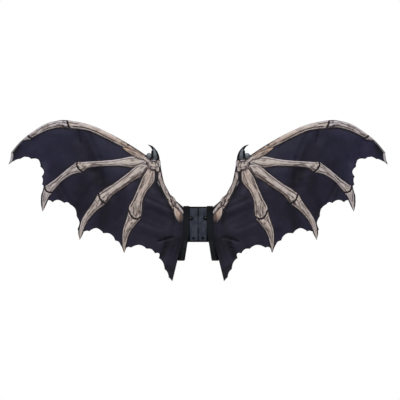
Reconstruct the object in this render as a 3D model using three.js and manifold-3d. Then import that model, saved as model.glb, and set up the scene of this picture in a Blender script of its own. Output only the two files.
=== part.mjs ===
// Costume bat wings printed with finger bones, worn on the back.
// Two cloth wings on bent wires, held between two plates, with an elastic arm loop on each side.
// Millimetres. X runs across the back, +Y points away from the wearer and +Z is up.
// The origin is the middle of the plate's face that rests on the wearer's back.
import * as THREE from "three";
import { mergeVertices } from "three/addons/utils/BufferGeometryUtils.js";
import Module from "manifold-3d";

const wasm = await Module();
wasm.setup();

// Driving dimensions
const SPAN = 1100;
const HALF_SPAN = SPAN / 2;
const GAP = 0.3;
const OVERCUT = 1;
const WELD = 1e-4;

// Plates and screws
const PLATE = { width: 84, height: 102, corner: 4, flange: 2.8 };
const PANEL = { width: 49, height: 94, corner: 2, rise: 3.2 };
const GROOVE = { width: 1.4, depth: 0.9 };
const GROOVE_RUNS = [
  { top: 44, bottom: 21 },
  { top: -8, bottom: -44 },
];
const PLATE_BACK = PANEL.rise + PLATE.flange;
const CLAMP = { blockWidth: 53, flange: 2.1 };
const SCREW = { head: 3, headHeight: 1.9, shank: 1.4, sides: 12, slot: 0.9, slotDepth: 0.8 };
const COUNTERBORE = { radius: 3.5, depth: 3 };
const SHANK_CLEARANCE = 0.35;
const SCREW_HOLE = SCREW.shank + SHANK_CLEARANCE;
const SCREWS = [
  { row: "upper", outboard: 20, height: 18, slots: [0, 90] },
  { row: "lower", outboard: 13.5, height: -40, slots: [40] },
];

// Cloth, print and wire
const CLOTH = 1.2;
const CLOTH_FRONT = PLATE_BACK + GAP;
const SWEEP = 42;
const ROOT_END = 44;
const ROOT_FADE = 34;
const PRINT = 0.8;
const WIRE_RADIUS = 1.6;
const BORE_RADIUS = 2;
const CASING_RADIUS = 3.2;
const CASING_SINK = 0.5;
const WIRE_STEPS = 30;
const TUBE_SIDES = 6;

// Depths behind the panel's face
const CASING_DEPTH = CLOTH_FRONT + CLOTH + CASING_RADIUS - CASING_SINK;
const CLAMP_FRONT = CLOTH_FRONT + CLOTH + GAP;
const CLAMP_FLANGE_FRONT = CASING_DEPTH + WIRE_RADIUS + GAP;
const CLAMP_BACK = CLAMP_FLANGE_FRONT + CLAMP.flange;

// Elastic arm loops
const STRAP = { width: 17.4, thickness: 1.6, outboard: 33.9, bow: 20, bottom: -104 };
const STRAP_LEAN = { from: -20, perMm: 0.176 };
const STRAP_TURN = { front: 2, back: 4, rise: 8 };

// The loop's front strand from the plate's top edge down: how much of the bow it has at each height
const strand = (height, share) => ({ height, share });
const STRAP_FRONT = [
  strand(28, 0), strand(10, 0.2), strand(-10, 0.55), strand(-32, 0.9), strand(-52, 1),
  strand(-70, 0.9), strand(-86, 0.6), strand(-97, 0.25),
];

// Wing edges as [outboard, height] from the plate's middle
const ROOT_EDGE = [[61, -110], [43, -40], [22.5, -40], [22.5, 44]];
const ARM_EDGE = [[43, 50], [67, 70], [84, 89], [98, 114], [107, 152], [111, 184]];
const WRIST_TAB = [[117, 197], [133, 197]];
const LEADING_EDGE = [
  [150, 199], [198, 229], [256, 261], [314, 286], [377, 300],
  [412, 298], [447, 287], [489, 260], [517, 237], [542, 208],
];
const TIP_EDGE = [[544, 188], [HALF_SPAN, 172]];
const KNUCKLES = { first: 4, second: 7 };

// Ragged lower edge from the wing tip inwards: each tooth, and how deep the bite before it cuts
const tooth = (outboard, height, bite) => ({ outboard, height, bite });
const TEETH = [
  tooth(515, 189, 3), tooth(483, 189, 6), tooth(456, 166, 11), tooth(452, 138, 8),
  tooth(452, 115, 3), tooth(448, 102, 3), tooth(451, 37, -6),
  tooth(443, 60, 1), tooth(421, 64, 8), tooth(387, 61, 7), tooth(370, 58, 4),
  tooth(351, 23, 6), tooth(348, -14, 7), tooth(343, -45, 1),
  tooth(337, -29, 1), tooth(314, -20, 5), tooth(273, -26, 11), tooth(239, -47, 9),
  tooth(223, -59, 3), tooth(214, -82, 0),
  tooth(206, -67, 1), tooth(193, -67, 2), tooth(148, -70, 9), tooth(125, -84, 6),
  tooth(113, -97, 9), tooth(97, -129, 5), tooth(85, -153, 3), tooth(74, -164, 1),
];

// Soft folds of the cloth: a line, how far it spreads and how deep it pushes the cloth back
const fold = (from, to, spread, push) => ({ from, to, spread, push });
const FOLDS = [
  fold([346, 246], [297, 160], 26, 5),
  fold([296, 152], [290, 108], 26, 5),
  fold([117, -52], [70, -34], 22, 6),
  fold([104, -88], [90, -56], 22, 6),
  fold([142, 62], [92, 44], 24, -5),
  fold([160, -12], [96, -22], 24, -5),
];

// The cloth's flat facets, closest together across the folds
const FACET_COLUMNS = [
  14, 44, 60, 76, 92, 108, 124, 144, 168, 200, 240, 275, 291, 307, 325, 350, 380, 420, 460, 505, 560,
];
const FACET_ROWS = [
  -176, -110, -92, -74, -56, -38, -20, -4, 30, 46, 62, 80, 108, 130, 155, 180, 210, 240, 265, 310,
];
const BLOCK_BACK = 240;

// Printed bones: the middle line from the wrist outwards, and six widths along it
const bone = (path, widths) => ({ path, widths });
const FINGER_BONES = [
  bone([[148, 177], [195, 179], [256, 178], [314, 174], [343, 167]], [5, 28, 19, 15, 17, 26]),
  bone([[351, 164], [372, 154], [395, 137], [415, 119], [432, 101]], [26, 20, 15, 15, 19, 22]),
  bone([[437, 92], [447, 65], [451, 37]], [22, 20, 18, 11, 5, 1]),
  bone([[147, 168], [175, 152], [227, 116], [256, 96], [279, 73]], [9, 32, 21, 17, 20, 33]),
  bone([[284, 67], [305, 41], [325, 12], [337, -17], [343, -45]], [33, 22, 19, 16, 10, 1]),
  bone([[137, 157], [145, 122], [166, 87], [183, 47], [186, 22]], [16, 34, 22, 24, 35, 27]),
  bone([[191, 16], [200, -8], [209, -37], [213, -60], [214, -82]], [38, 31, 24, 17, 10, 1]),
];
const EDGE_BONES = [
  { from: 0.05, to: KNUCKLES.first - 0.04, widths: [15, 26, 18, 16, 17, 19] },
  { from: KNUCKLES.first + 0.04, to: KNUCKLES.second - 0.04, widths: [17, 18, 18, 17, 15, 13] },
  { from: KNUCKLES.second + 0.04, to: LEADING_EDGE.length - 1, widths: [12, 8, 5, 4, 4, 4] },
];
const ARM_WIDTHS = [34, 22, 15, 13, 15, 15];
const WRIST_BONES = [[111, 183], [109, 163], [119, 151], [140, 153], [151, 168], [150, 183]];
const ARM_FOOT = [[43, 49], [43, 8], [52, 6], [66, 24]];
const NECK_WIDTH = 6;
const NECKS = [
  [[340, 168], [354, 162]], [[430, 103], [439, 88]], [[277, 75], [287, 63]], [[186, 25], [192, 12]],
  [[371, 293], [383, 292]], [[483, 258], [492, 251]], [[146, 179], [156, 192]],
];
const BONE_STEPS = 8;
const BONE_CAP = 0.12;

// Frame wire from the plate along the arm and the leading edge
const WIRE_PATH = [
  [31, -38], [31, 0], [36, 24], [50, 44], [71, 64], [90, 87], [103, 114], [112, 150], [119, 172],
  [136, 187], [157, 196], [201, 222], [259, 254], [317, 279], [377, 293], [411, 291], [443, 280],
  [484, 254], [512, 231], [531, 210],
];
const CASING_START = 46;
const CASING_END_WALL = 5;

// Thumb claw from its foot to its tip, and the knob and rib beside it
const claw = (outboard, height, width, depth) => ({ outboard, height, width, depth });
const CLAW = [
  claw(123, 185, 25, 6.5), claw(123.5, 197, 22, 7), claw(125.5, 208, 16, 6.5),
  claw(129, 217, 9, 5), claw(136, 224.5, 5, 3.5), claw(145, 229, 1, 1.2),
];
const CLAW_SIDES = 12;
const CLAW_STEPS = 10;
const KNOB = { outboard: 141, height: 195, radius: 8.4, depth: 5 };
const RIB = { outboard: 134, height: 201, width: 5, length: 21, depth: 7.5 };

// Materials
function material(colour, roughness, metalness = 0) {
  return new THREE.MeshStandardMaterial({ color: colour, roughness, metalness });
}
const CLOTH_BLACK = material(0x292734, 0.75);
const BONE_TAUPE = material(0x9a8e89, 0.8);
const CLAW_SLATE = material(0x61666d, 0.45);
const PLATE_SLATE = material(0x353944, 0.55);
const CLAMP_BLACK = material(0x202227, 0.6);
const STRAP_BLACK = material(0x1c1f23, 0.9);
const SCREW_STEEL = material(0x2a2c30, 0.35, 0.9);
const WIRE_STEEL = material(0x8a8d90, 0.35, 1);

// Solids and booleans
function solidOf(geometry) {
  const bare = geometry.clone();
  bare.deleteAttribute("normal");
  bare.deleteAttribute("uv");
  const merged = mergeVertices(bare, WELD);
  const vertProperties = new Float32Array(merged.attributes.position.array);
  const triVerts = new Uint32Array(merged.index.array);
  return new wasm.Manifold(new wasm.Mesh({ numProp: 3, vertProperties, triVerts }));
}

function geometryOf(solid) {
  const { vertProperties, triVerts } = solid.getMesh();
  const geometry = new THREE.BufferGeometry();
  geometry.setAttribute("position", new THREE.BufferAttribute(vertProperties, 3));
  geometry.setIndex(new THREE.BufferAttribute(triVerts, 1));
  geometry.computeVertexNormals();
  return geometry;
}

function mapVertices(geometry, map) {
  const position = geometry.attributes.position;
  const point = new THREE.Vector3();
  for (let i = 0; i < position.count; i += 1) {
    map(point.fromBufferAttribute(position, i), i);
    position.setXYZ(i, point.x, point.y, point.z);
  }
  return geometry;
}

function mesh(name, geometry, finish) {
  const made = new THREE.Mesh(geometry, finish);
  made.name = name;
  return made;
}

// A flat outline in the X-Z plane, thickened from one depth to another
function slab(shape, front, back, curveSegments = 2) {
  const options = { depth: back - front, bevelEnabled: false, curveSegments };
  return new THREE.ExtrudeGeometry(shape, options).rotateX(Math.PI / 2).translate(0, back, 0);
}

function box(width, height, front, back, x = 0, z = 0) {
  const depth = back - front;
  return new THREE.BoxGeometry(width, depth, height).translate(x, (front + back) / 2, z);
}

// A round bar along Y
function rod(radius, front, back, x, z) {
  const length = back - front;
  return new THREE.CylinderGeometry(radius, radius, length, SCREW.sides)
    .translate(x, (front + back) / 2, z);
}

function roundedRectangle(width, height, corner) {
  const x = width / 2;
  const z = height / 2;
  const shape = new THREE.Shape();
  shape.absarc(x - corner, z - corner, corner, 0, Math.PI / 2);
  shape.absarc(corner - x, z - corner, corner, Math.PI / 2, Math.PI);
  shape.absarc(corner - x, corner - z, corner, Math.PI, 1.5 * Math.PI);
  shape.absarc(x - corner, corner - z, corner, 1.5 * Math.PI, 2 * Math.PI);
  return shape;
}

const vectors = (points) => points.map(([u, z]) => new THREE.Vector2(u, z));
const polygon = (points) => new THREE.Shape(vectors(points));

// The cloth's front face: swept back towards the tips, with soft folds
function distanceToLine(u, z, [u0, z0], [u1, z1]) {
  const run = new THREE.Vector2(u1 - u0, z1 - z0);
  const reach = new THREE.Vector2(u - u0, z - z0);
  const along = THREE.MathUtils.clamp(reach.dot(run) / run.lengthSq(), 0, 1);
  return reach.sub(run.multiplyScalar(along)).length();
}

function clothFront(u, z) {
  const outward = Math.max(0, u - ROOT_END);
  const free = THREE.MathUtils.smoothstep(outward, 0, ROOT_FADE);
  let push = 0;
  for (const { from, to, spread, push: depth } of FOLDS) {
    const share = Math.min(1, distanceToLine(u, z, from, to) / spread);
    push += depth * (1 - share ** 2) ** 2;
  }
  return CLOTH_FRONT + SWEEP * (outward / (HALF_SPAN - ROOT_END)) ** 2 + free * push;
}

// A deep block whose front face is the cloth's front face, moved back by an offset
function wingBlock(offset) {
  const across = FACET_COLUMNS.length - 1;
  const up = FACET_ROWS.length - 1;
  const block = new THREE.BoxGeometry(across, 1, up, across, 1, up);
  return mapVertices(block, (point) => {
    const isFront = point.y < 0;
    point.x = FACET_COLUMNS[Math.round(point.x + across / 2)];
    point.z = FACET_ROWS[Math.round(point.z + up / 2)];
    point.y = offset + (isFront ? clothFront(point.x, point.z) : BLOCK_BACK);
  });
}

// A sheet that lies against the cloth's front face, between two offsets from it
const sheet = (front, back) => solidOf(wingBlock(front)).subtract(solidOf(wingBlock(back)));
const prism = (shape, segments) => solidOf(slab(shape, -BLOCK_BACK, BLOCK_BACK, segments));

function wingOutline() {
  const shape = new THREE.Shape();
  shape.moveTo(...ARM_EDGE[0]);
  shape.splineThru(vectors(ARM_EDGE.slice(1)));
  [...WRIST_TAB, LEADING_EDGE[0]].forEach((point) => shape.lineTo(...point));
  shape.splineThru(vectors(LEADING_EDGE.slice(1)));
  TIP_EDGE.forEach((point) => shape.lineTo(...point));
  for (const { outboard, height, bite } of TEETH) {
    const from = shape.currentPoint.clone();
    const to = new THREE.Vector2(outboard, height);
    const run = to.clone().sub(from).normalize();
    const middle = from.clone().lerp(to, 0.5);
    shape.quadraticCurveTo(middle.x + 2 * bite * run.y, middle.y - 2 * bite * run.x, to.x, to.y);
  }
  ROOT_EDGE.forEach((point) => shape.lineTo(...point));
  return shape;
}

// Frame wire, bore and casing: tubes along one route behind the cloth
function wireRoute() {
  const depth = CASING_DEPTH - CLOTH_FRONT;
  const points = new THREE.SplineCurve(vectors(WIRE_PATH))
    .getSpacedPoints(WIRE_STEPS)
    .map(({ x, y }) => new THREE.Vector3(x, clothFront(x, y) + depth, y));
  return new THREE.CatmullRomCurve3(points);
}

function casingRoute(route) {
  const points = route.getSpacedPoints(WIRE_STEPS).filter((point) => point.x > CASING_START);
  const end = points.at(-1);
  const run = end.clone().sub(points.at(-2)).normalize();
  points.push(end.clone().addScaledVector(run, CASING_END_WALL));
  return new THREE.CatmullRomCurve3(points);
}

function tube(route, radius) {
  const section = new THREE.Shape();
  section.absarc(0, 0, radius, 0, 2 * Math.PI);
  const options = { steps: WIRE_STEPS, extrudePath: route, curveSegments: TUBE_SIDES / 2 };
  return new THREE.ExtrudeGeometry(section, options);
}

function membrane(route, outline) {
  return sheet(0, CLOTH)
    .intersect(outline)
    .add(solidOf(tube(casingRoute(route), CASING_RADIUS)))
    .subtract(solidOf(tube(route, BORE_RADIUS)));
}

// Printed bones
function widthAt(widths, share) {
  const points = widths.map((width, i) => new THREE.Vector2(i, width));
  return new THREE.SplineCurve(points).getPoint(share).y;
}

function normalAt(curve, t) {
  const run = curve.getTangent(t);
  return new THREE.Vector2(-run.y, run.x);
}

function fingerBone({ path, widths }) {
  const curve = new THREE.SplineCurve(vectors(path));
  const left = [];
  const right = [];
  for (let i = 0; i <= BONE_STEPS; i += 1) {
    const t = i / BONE_STEPS;
    const half = widthAt(widths, t) / 2;
    left.push(curve.getPoint(t).addScaledVector(normalAt(curve, t), half));
    right.push(curve.getPoint(t).addScaledVector(normalAt(curve, t), -half));
  }
  const cap = curve.getPoint(1).addScaledVector(curve.getTangent(1), BONE_CAP * widths.at(-1));
  return new THREE.Shape([...left, cap, ...right.reverse()]);
}

function edgeBone(edge, from, to, widths) {
  const curve = new THREE.SplineCurve(vectors(edge));
  const outer = [];
  const inner = [];
  for (let i = 0; i <= BONE_STEPS; i += 1) {
    const share = i / BONE_STEPS;
    const t = THREE.MathUtils.lerp(from, to, share) / (edge.length - 1);
    const point = curve.getPoint(t);
    outer.push(point.clone());
    inner.push(point.addScaledVector(normalAt(curve, t), -widthAt(widths, share)));
  }
  return new THREE.Shape([...outer, ...inner.reverse()]);
}

function neck([from, to]) {
  const [start, end] = vectors([from, to]);
  const side = end.clone().sub(start).normalize().multiplyScalar(NECK_WIDTH / 2);
  side.set(-side.y, side.x);
  const corners = [
    start.clone().add(side), end.clone().add(side), end.clone().sub(side), start.clone().sub(side),
  ];
  return new THREE.Shape(corners);
}

function bonePrint(outline) {
  const shapes = [
    polygon(WRIST_BONES),
    polygon(ARM_FOOT),
    edgeBone(ARM_EDGE, 0, ARM_EDGE.length - 1, ARM_WIDTHS),
    ...EDGE_BONES.map(({ from, to, widths }) => edgeBone(LEADING_EDGE, from, to, widths)),
    ...FINGER_BONES.map(fingerBone),
    ...NECKS.map(neck),
  ];
  const bones = shapes.map((shape) => prism(shape, 1)).reduce((joined, next) => joined.add(next));
  return sheet(-GAP - PRINT, -GAP).intersect(outline).intersect(bones);
}

// Thumb claw: modelled on a flat seat, then laid on the cloth's front face
function clawHorn() {
  const spine = new THREE.SplineCurve(vectors(CLAW.map((row) => [row.outboard, row.height])));
  const widths = CLAW.map((row) => row.width);
  const depths = CLAW.map((row) => row.depth);
  const rings = Array.from({ length: CLAW_STEPS + 1 }, (_, i) => new THREE.Vector2(1, i / CLAW_STEPS));
  const profile = [new THREE.Vector2(0, 0), ...rings, new THREE.Vector2(0, 1)];
  return mapVertices(new THREE.LatheGeometry(profile, CLAW_SIDES), (point) => {
    const t = point.y;
    const centre = spine.getPoint(t);
    centre.addScaledVector(normalAt(spine, t), (-point.x * widthAt(widths, t)) / 2);
    point.set(centre.x, -point.z * widthAt(depths, t), centre.y);
  });
}

function thumbClaw() {
  const { radius, depth } = KNOB;
  const knob = new THREE.SphereGeometry(radius, CLAW_SIDES, CLAW_SIDES / 2)
    .scale(1, depth / radius, 1)
    .translate(KNOB.outboard, 0, KNOB.height);
  const rib = box(RIB.width, RIB.length, -RIB.depth, RIB.depth, RIB.outboard, RIB.height);
  const behind = box(HALF_SPAN, SPAN, 0, HALF_SPAN, KNOB.outboard, KNOB.height);
  const flat = [knob, rib]
    .map(solidOf)
    .reduce((joined, next) => joined.add(next), solidOf(clawHorn()))
    .subtract(solidOf(behind));
  return mapVertices(geometryOf(flat), (point) => {
    point.y += clothFront(point.x, point.z) - GAP;
  });
}

// Arm loop: the band's side view as [depth, height], from the plate's top edge round to it again
function strapStations() {
  const top = PLATE.height / 2 + GAP + STRAP.thickness / 2;
  const front = PANEL.rise - GAP - STRAP.thickness / 2;
  const back = CLAMP_BACK + GAP + STRAP.thickness / 2;
  return vectors([
    [front, top],
    ...STRAP_FRONT.map(({ height, share }) => [front - share * STRAP.bow, height]),
    [front + STRAP_TURN.front, STRAP.bottom],
    [back - STRAP_TURN.back, STRAP.bottom],
    [back, STRAP.bottom + STRAP_TURN.rise],
    [back, STRAP_LEAN.from],
    [back, top],
  ]);
}

// The way out of the loop at one station, longer at a corner so that the band keeps its thickness
function stationNormal(stations, i) {
  const arrive = stations[i].clone().sub(stations.at(i - 1)).normalize();
  const leave = stations[(i + 1) % stations.length].clone().sub(stations[i]).normalize();
  const run = arrive.clone().add(leave).normalize();
  return new THREE.Vector2(run.y, -run.x).divideScalar(run.dot(leave));
}

// A four-sided ring, bent along the stations and leaned outwards below the plate
function strapLoop() {
  const stations = strapStations();
  const corners = [[1, -1], [-1, -1], [-1, 1], [1, 1]];
  const ring = new THREE.TorusGeometry(2, 1, corners.length, stations.length);
  const { uv } = ring.attributes;
  return mapVertices(ring, (point, vertex) => {
    const i = Math.round(uv.getX(vertex) * stations.length) % stations.length;
    const [across, out] = corners[Math.round(uv.getY(vertex) * corners.length) % corners.length];
    const outward = stationNormal(stations, i).multiplyScalar((out * STRAP.thickness) / 2);
    const edge = stations[i].clone().add(outward);
    const lean = Math.max(0, STRAP_LEAN.from - edge.y) * STRAP_LEAN.perMm;
    point.set(STRAP.outboard + lean + (across * STRAP.width) / 2, edge.x, edge.y);
  });
}

// Plates and screws
const mirroredPairs = SCREWS.flatMap((screw) => [
  { ...screw, side: "left", x: -screw.outboard },
  { ...screw, side: "right", x: screw.outboard },
]);

function backPlate() {
  const flange = roundedRectangle(PLATE.width, PLATE.height, PLATE.corner);
  const panel = roundedRectangle(PANEL.width, PANEL.height, PANEL.corner);
  let plate = solidOf(slab(flange, PANEL.rise, PLATE_BACK)).add(solidOf(slab(panel, 0, PLATE_BACK)));
  for (const { top, bottom } of GROOVE_RUNS) {
    const middle = (top + bottom) / 2;
    plate = plate.subtract(solidOf(box(GROOVE.width, top - bottom, -OVERCUT, GROOVE.depth, 0, middle)));
  }
  for (const { x, height } of mirroredPairs) {
    plate = plate
      .subtract(solidOf(rod(COUNTERBORE.radius, -OVERCUT, COUNTERBORE.depth, x, height)))
      .subtract(solidOf(rod(SCREW_HOLE, -OVERCUT, PLATE_BACK + OVERCUT, x, height)));
  }
  return geometryOf(plate);
}

function clampPlate() {
  const flange = roundedRectangle(PLATE.width, PLATE.height, PLATE.corner);
  const block = roundedRectangle(CLAMP.blockWidth, PLATE.height, PLATE.corner);
  let plate = solidOf(slab(flange, CLAMP_FLANGE_FRONT, CLAMP_BACK))
    .add(solidOf(slab(block, CLAMP_FRONT, CLAMP_BACK)));
  for (const { x, height } of mirroredPairs) {
    plate = plate.subtract(solidOf(rod(SCREW_HOLE, 0, CLAMP_FLANGE_FRONT, x, height)));
  }
  return geometryOf(plate);
}

function screw({ x, height, slots, side }) {
  const under = COUNTERBORE.depth - GAP;
  const face = under - SCREW.headHeight;
  const end = CLAMP_FLANGE_FRONT - GAP;
  let body = solidOf(rod(SCREW.head, face, under, x, height))
    .add(solidOf(rod(SCREW.shank, face, end, x, height)));
  for (const angle of slots) {
    const turn = THREE.MathUtils.degToRad(side === "left" ? angle : -angle);
    const slot = new THREE.BoxGeometry(2 * (SCREW.head + OVERCUT), 2 * SCREW.slotDepth, SCREW.slot)
      .rotateY(turn)
      .translate(x, face, height);
    body = body.subtract(solidOf(slot));
  }
  return geometryOf(body);
}

// Assembly
function wing(side) {
  const route = wireRoute();
  const outline = prism(wingOutline(), 3);
  const group = new THREE.Group();
  group.add(
    mesh(`${side}_membrane`, geometryOf(membrane(route, outline)), CLOTH_BLACK),
    mesh(`${side}_bone_print`, geometryOf(bonePrint(outline)), BONE_TAUPE),
    mesh(`${side}_thumb_claw`, thumbClaw(), CLAW_SLATE),
    mesh(`${side}_frame_wire`, tube(route, WIRE_RADIUS), WIRE_STEEL),
    mesh(`${side}_strap`, strapLoop(), STRAP_BLACK),
  );
  return group;
}

const wings = new THREE.Group();
const rightWing = wing("right");
const leftWing = wing("left");
leftWing.scale.x = -1;
wings.add(rightWing, leftWing);
wings.add(mesh("back_plate", backPlate(), PLATE_SLATE));
wings.add(mesh("clamp_plate", clampPlate(), CLAMP_BLACK));
for (const place of mirroredPairs) {
  wings.add(mesh(`${place.row}_${place.side}_screw`, screw(place), SCREW_STEEL));
}

export default wings;
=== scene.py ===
"""Costume skeleton wings: the finish of every surface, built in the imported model's frame."""
import math
from collections import namedtuple

import bmesh
import bpy
import numpy as np
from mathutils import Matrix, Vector
from mathutils.geometry import delaunay_2d_cdt


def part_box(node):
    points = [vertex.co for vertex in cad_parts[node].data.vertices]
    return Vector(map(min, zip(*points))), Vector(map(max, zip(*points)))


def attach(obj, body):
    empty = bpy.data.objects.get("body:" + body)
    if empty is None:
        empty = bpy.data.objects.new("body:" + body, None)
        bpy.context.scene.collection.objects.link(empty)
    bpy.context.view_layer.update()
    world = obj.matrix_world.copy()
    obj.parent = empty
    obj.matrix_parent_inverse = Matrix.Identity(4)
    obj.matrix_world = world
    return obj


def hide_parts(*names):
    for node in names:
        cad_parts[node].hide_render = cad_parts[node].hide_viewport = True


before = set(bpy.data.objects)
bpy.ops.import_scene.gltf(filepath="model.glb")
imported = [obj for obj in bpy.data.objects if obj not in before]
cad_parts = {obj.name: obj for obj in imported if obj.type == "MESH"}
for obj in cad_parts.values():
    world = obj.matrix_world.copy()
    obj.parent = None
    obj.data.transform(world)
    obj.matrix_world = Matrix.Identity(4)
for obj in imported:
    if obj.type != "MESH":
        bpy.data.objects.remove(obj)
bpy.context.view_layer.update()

# Sizes are millimetres until a mesh is made, as [outboard, height] from the plate's middle
MM = 0.001
GAP = 0.3
TINY = 1e-9
NUDGE = 1e-3
SIDES = [("right", 1), ("left", -1)]
HALF_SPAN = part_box("right_membrane")[1].x / MM
PLATE_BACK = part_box("back_plate")[1].y / MM
PLATE_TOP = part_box("back_plate")[1].z / MM
CLAMP_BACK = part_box("clamp_plate")[1].y / MM

# Cloth, casing and wire
CLOTH = 1.2
CLOTH_FRONT = PLATE_BACK + GAP
SWEEP = 42
ROOT_END = 44
ROOT_FADE = 34
CASING_RADIUS = 3.2
CASING_SINK = 0.5
BORE_RADIUS = 2
WIRE_RADIUS = 1.6
CASING_DEPTH = CLOTH + CASING_RADIUS - CASING_SINK
CASING_END = 5
TUBE_SIDES = 20
PUCKER = {"depth": 0.22, "along": 2.3, "around": 3.1}

# Wing edges
ROOT_EDGE = [[61, -110], [43, -40], [22.5, -40], [22.5, 44]]
ARM_EDGE = [[43, 50], [66, 70], [82.5, 89], [96, 114], [105, 152], [109.5, 184]]
WRIST_TAB = [[117, 197], [133, 197]]
LEADING_EDGE = [
    [150, 199], [198, 230], [255.5, 262], [313.5, 287], [377, 300],
    [412, 298], [447, 287], [489, 260], [517, 237], [542, 208],
]
TIP_EDGE = [[544, 188], [HALF_SPAN, 172]]

# Ragged lower edge from the wing tip inwards: each tooth, and how deep the bite before it cuts
Tooth = namedtuple("Tooth", "outboard height bite")
TEETH = [Tooth(*row) for row in [
    (515, 189, 3), (483, 189, 6), (456, 166, 11), (452, 138, 8), (452, 115, 3), (448, 102, 3),
    (449.5, 37, -6), (443, 60, 1), (421, 64, 8), (387, 61, 7), (370, 58, 4), (351, 23, 6), (348, -14, 7),
    (341.5, -45, 1), (337, -29, -0.5), (314, -20, 5), (273, -26, 11), (239, -47, 9), (223, -59, 3),
    (212.5, -82, 0), (206, -67, 1), (193, -67, 2), (148, -70, 9), (125, -84, 6), (113, -97, 9),
    (97, -129, 5), (85, -153, 3), (74, -164, 1),
]]
EDGE_STEP = 2.2
CURVE_SAMPLES = 40
FRAY = 0.9
FRAY_STEP = 6.5

# Folds of the cloth: a line, how far it spreads and how deep it pushes the cloth back
Stroke = namedtuple("Stroke", "u0 z0 u1 z1 reach strength")
FOLDS = [Stroke(*row) for row in [
    (346, 246, 297, 160, 26, 3), (296, 152, 290, 108, 30, 3), (117, -52, 70, -34, 22, 1),
    (104, -88, 90, -56, 22, 1.5), (142, 62, 92, 44, 24, -3), (160, -12, 96, -22, 24, -2.5),
]]
CREASES = [Stroke(*row) for row in [
    (349, 272, 341, 236, 7, 1.6), (317, 262, 283, 190, 12, 1.5), (283, 190, 281, 128, 11, 2.2),
    (303, 150, 262, 132, 16, 1.2), (214, 108, 236, 8, 10, 2.0), (146, 74, 84, 45, 9, 1.9),
    (134, 40, 74, 8, 12, 0.9), (166, 6, 112, -14, 10, 1.2), (113, -50, 94, -42, 6, 2.5),
    (94, -42, 72, -38, 6, 2.5), (107, -95, 95, -69, 7, 1.2), (95, -69, 91, -54, 7, 2.6),
    (82, -10, 66, -96, 9, -1), (96, -118, 76, -60, 8, -2.0), (424, 250, 440, 150, 16, 1),
    (480, 240, 500, 200, 12, 1.8), (398, 112, 376, 66, 10, 1.8), (306, 112, 352, 44, 12, 1.6),
    (262, 60, 300, -10, 11, 1.8), (176, 0, 186, -60, 10, 1.8),
]]
RIPPLE = 1.6
RIPPLE_LENGTH = 44
CLOTH_CELL = 3
RIM_CLEARANCE = 0.6
MERGE = 1e-7
BACK_SHADE = 0.1
INSIDE_HEM = 9.0

# Strokes on the cloth: a line, how far it reaches and how dark it is, or below 0 how light; partly printed
# airbrush, partly painted shade of creases and folds, painted shadow beside the strap and painted light
SHADES = [Stroke(*row) for row in [
    (349, 270, 341, 234, 5, 0.4), (318, 245, 299, 195, 12, 0.3), (345, 215, 322, 190, 22, 0.45),
    (299, 164, 270, 114, 20, 0.8), (333, 132, 330, 120, 18, 0.6), (390, 130, 340, 90, 50, 0.4),
    (402, 102, 394, 84, 14, 0.6), (322, 100, 300, 88, 18, 0.4), (340, 80, 318, 40, 24, 0.35),
    (348, 56, 344, 28, 14, 0.6), (232, 90, 220, 40, 24, 0.45), (264, 54, 282, -6, 18, 0.8),
    (250, 40, 236, 0, 20, 0.35), (520, 224, 536, 204, 12, 0.85), (440, 238, 432, 205, 16, 0.3),
    (402, 228, 360, 236, 26, 0.2), (398, 168, 378, 156, 18, 0.3), (151, 157, 172, 125, 7, 0.3),
    (122, 126, 102, 84, 7, 0.75), (102, 84, 88, 58, 6, 0.45), (87, 61, 73, 26, 6, 0.5),
    (72, 30, 70, 2, 5, 0.9), (80, -8, 76, -24, 6, 0.35), (114, -47, 95, -39, 4, 0.85),
    (95, -39, 74, -35, 4, 0.85), (74, -42, 50, -45, 8, 0.75), (90, -56, 66, -57, 8, 0.65),
    (92, -54, 94, -68, 5, 0.85), (95, -70, 106, -94, 9, 0.97), (52, -42, 60, -80, 5, 0.8),
    (82, -46, 64, -110, 13, 0.25), (90, -120, 70, -135, 4, 0.6), (66, -80, 66, -92, 4, 0.5),
    (190, -20, 192, -60, 20, 0.25), (165, 0, 135, -8, 12, 0.3), (300, 258, 215, 205, 26, -0.25),
    (425, 264, 385, 276, 18, -0.3), (505, 246, 486, 220, 18, -0.2), (442, 170, 438, 118, 14, -0.45),
    (255, 162, 215, 155, 16, -0.25), (190, 122, 202, 106, 13, -0.35), (300, 156, 292, 136, 13, 0.65),
    (284, 132, 265, 112, 13, 0.45), (140, 70, 120, 66, 10, 0.3), (150, 32, 125, 22, 12, 0.3),
    (138, 108, 128, 92, 10, -0.3), (50, -5, 50, -40, 7, 0.3),
]]

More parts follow.
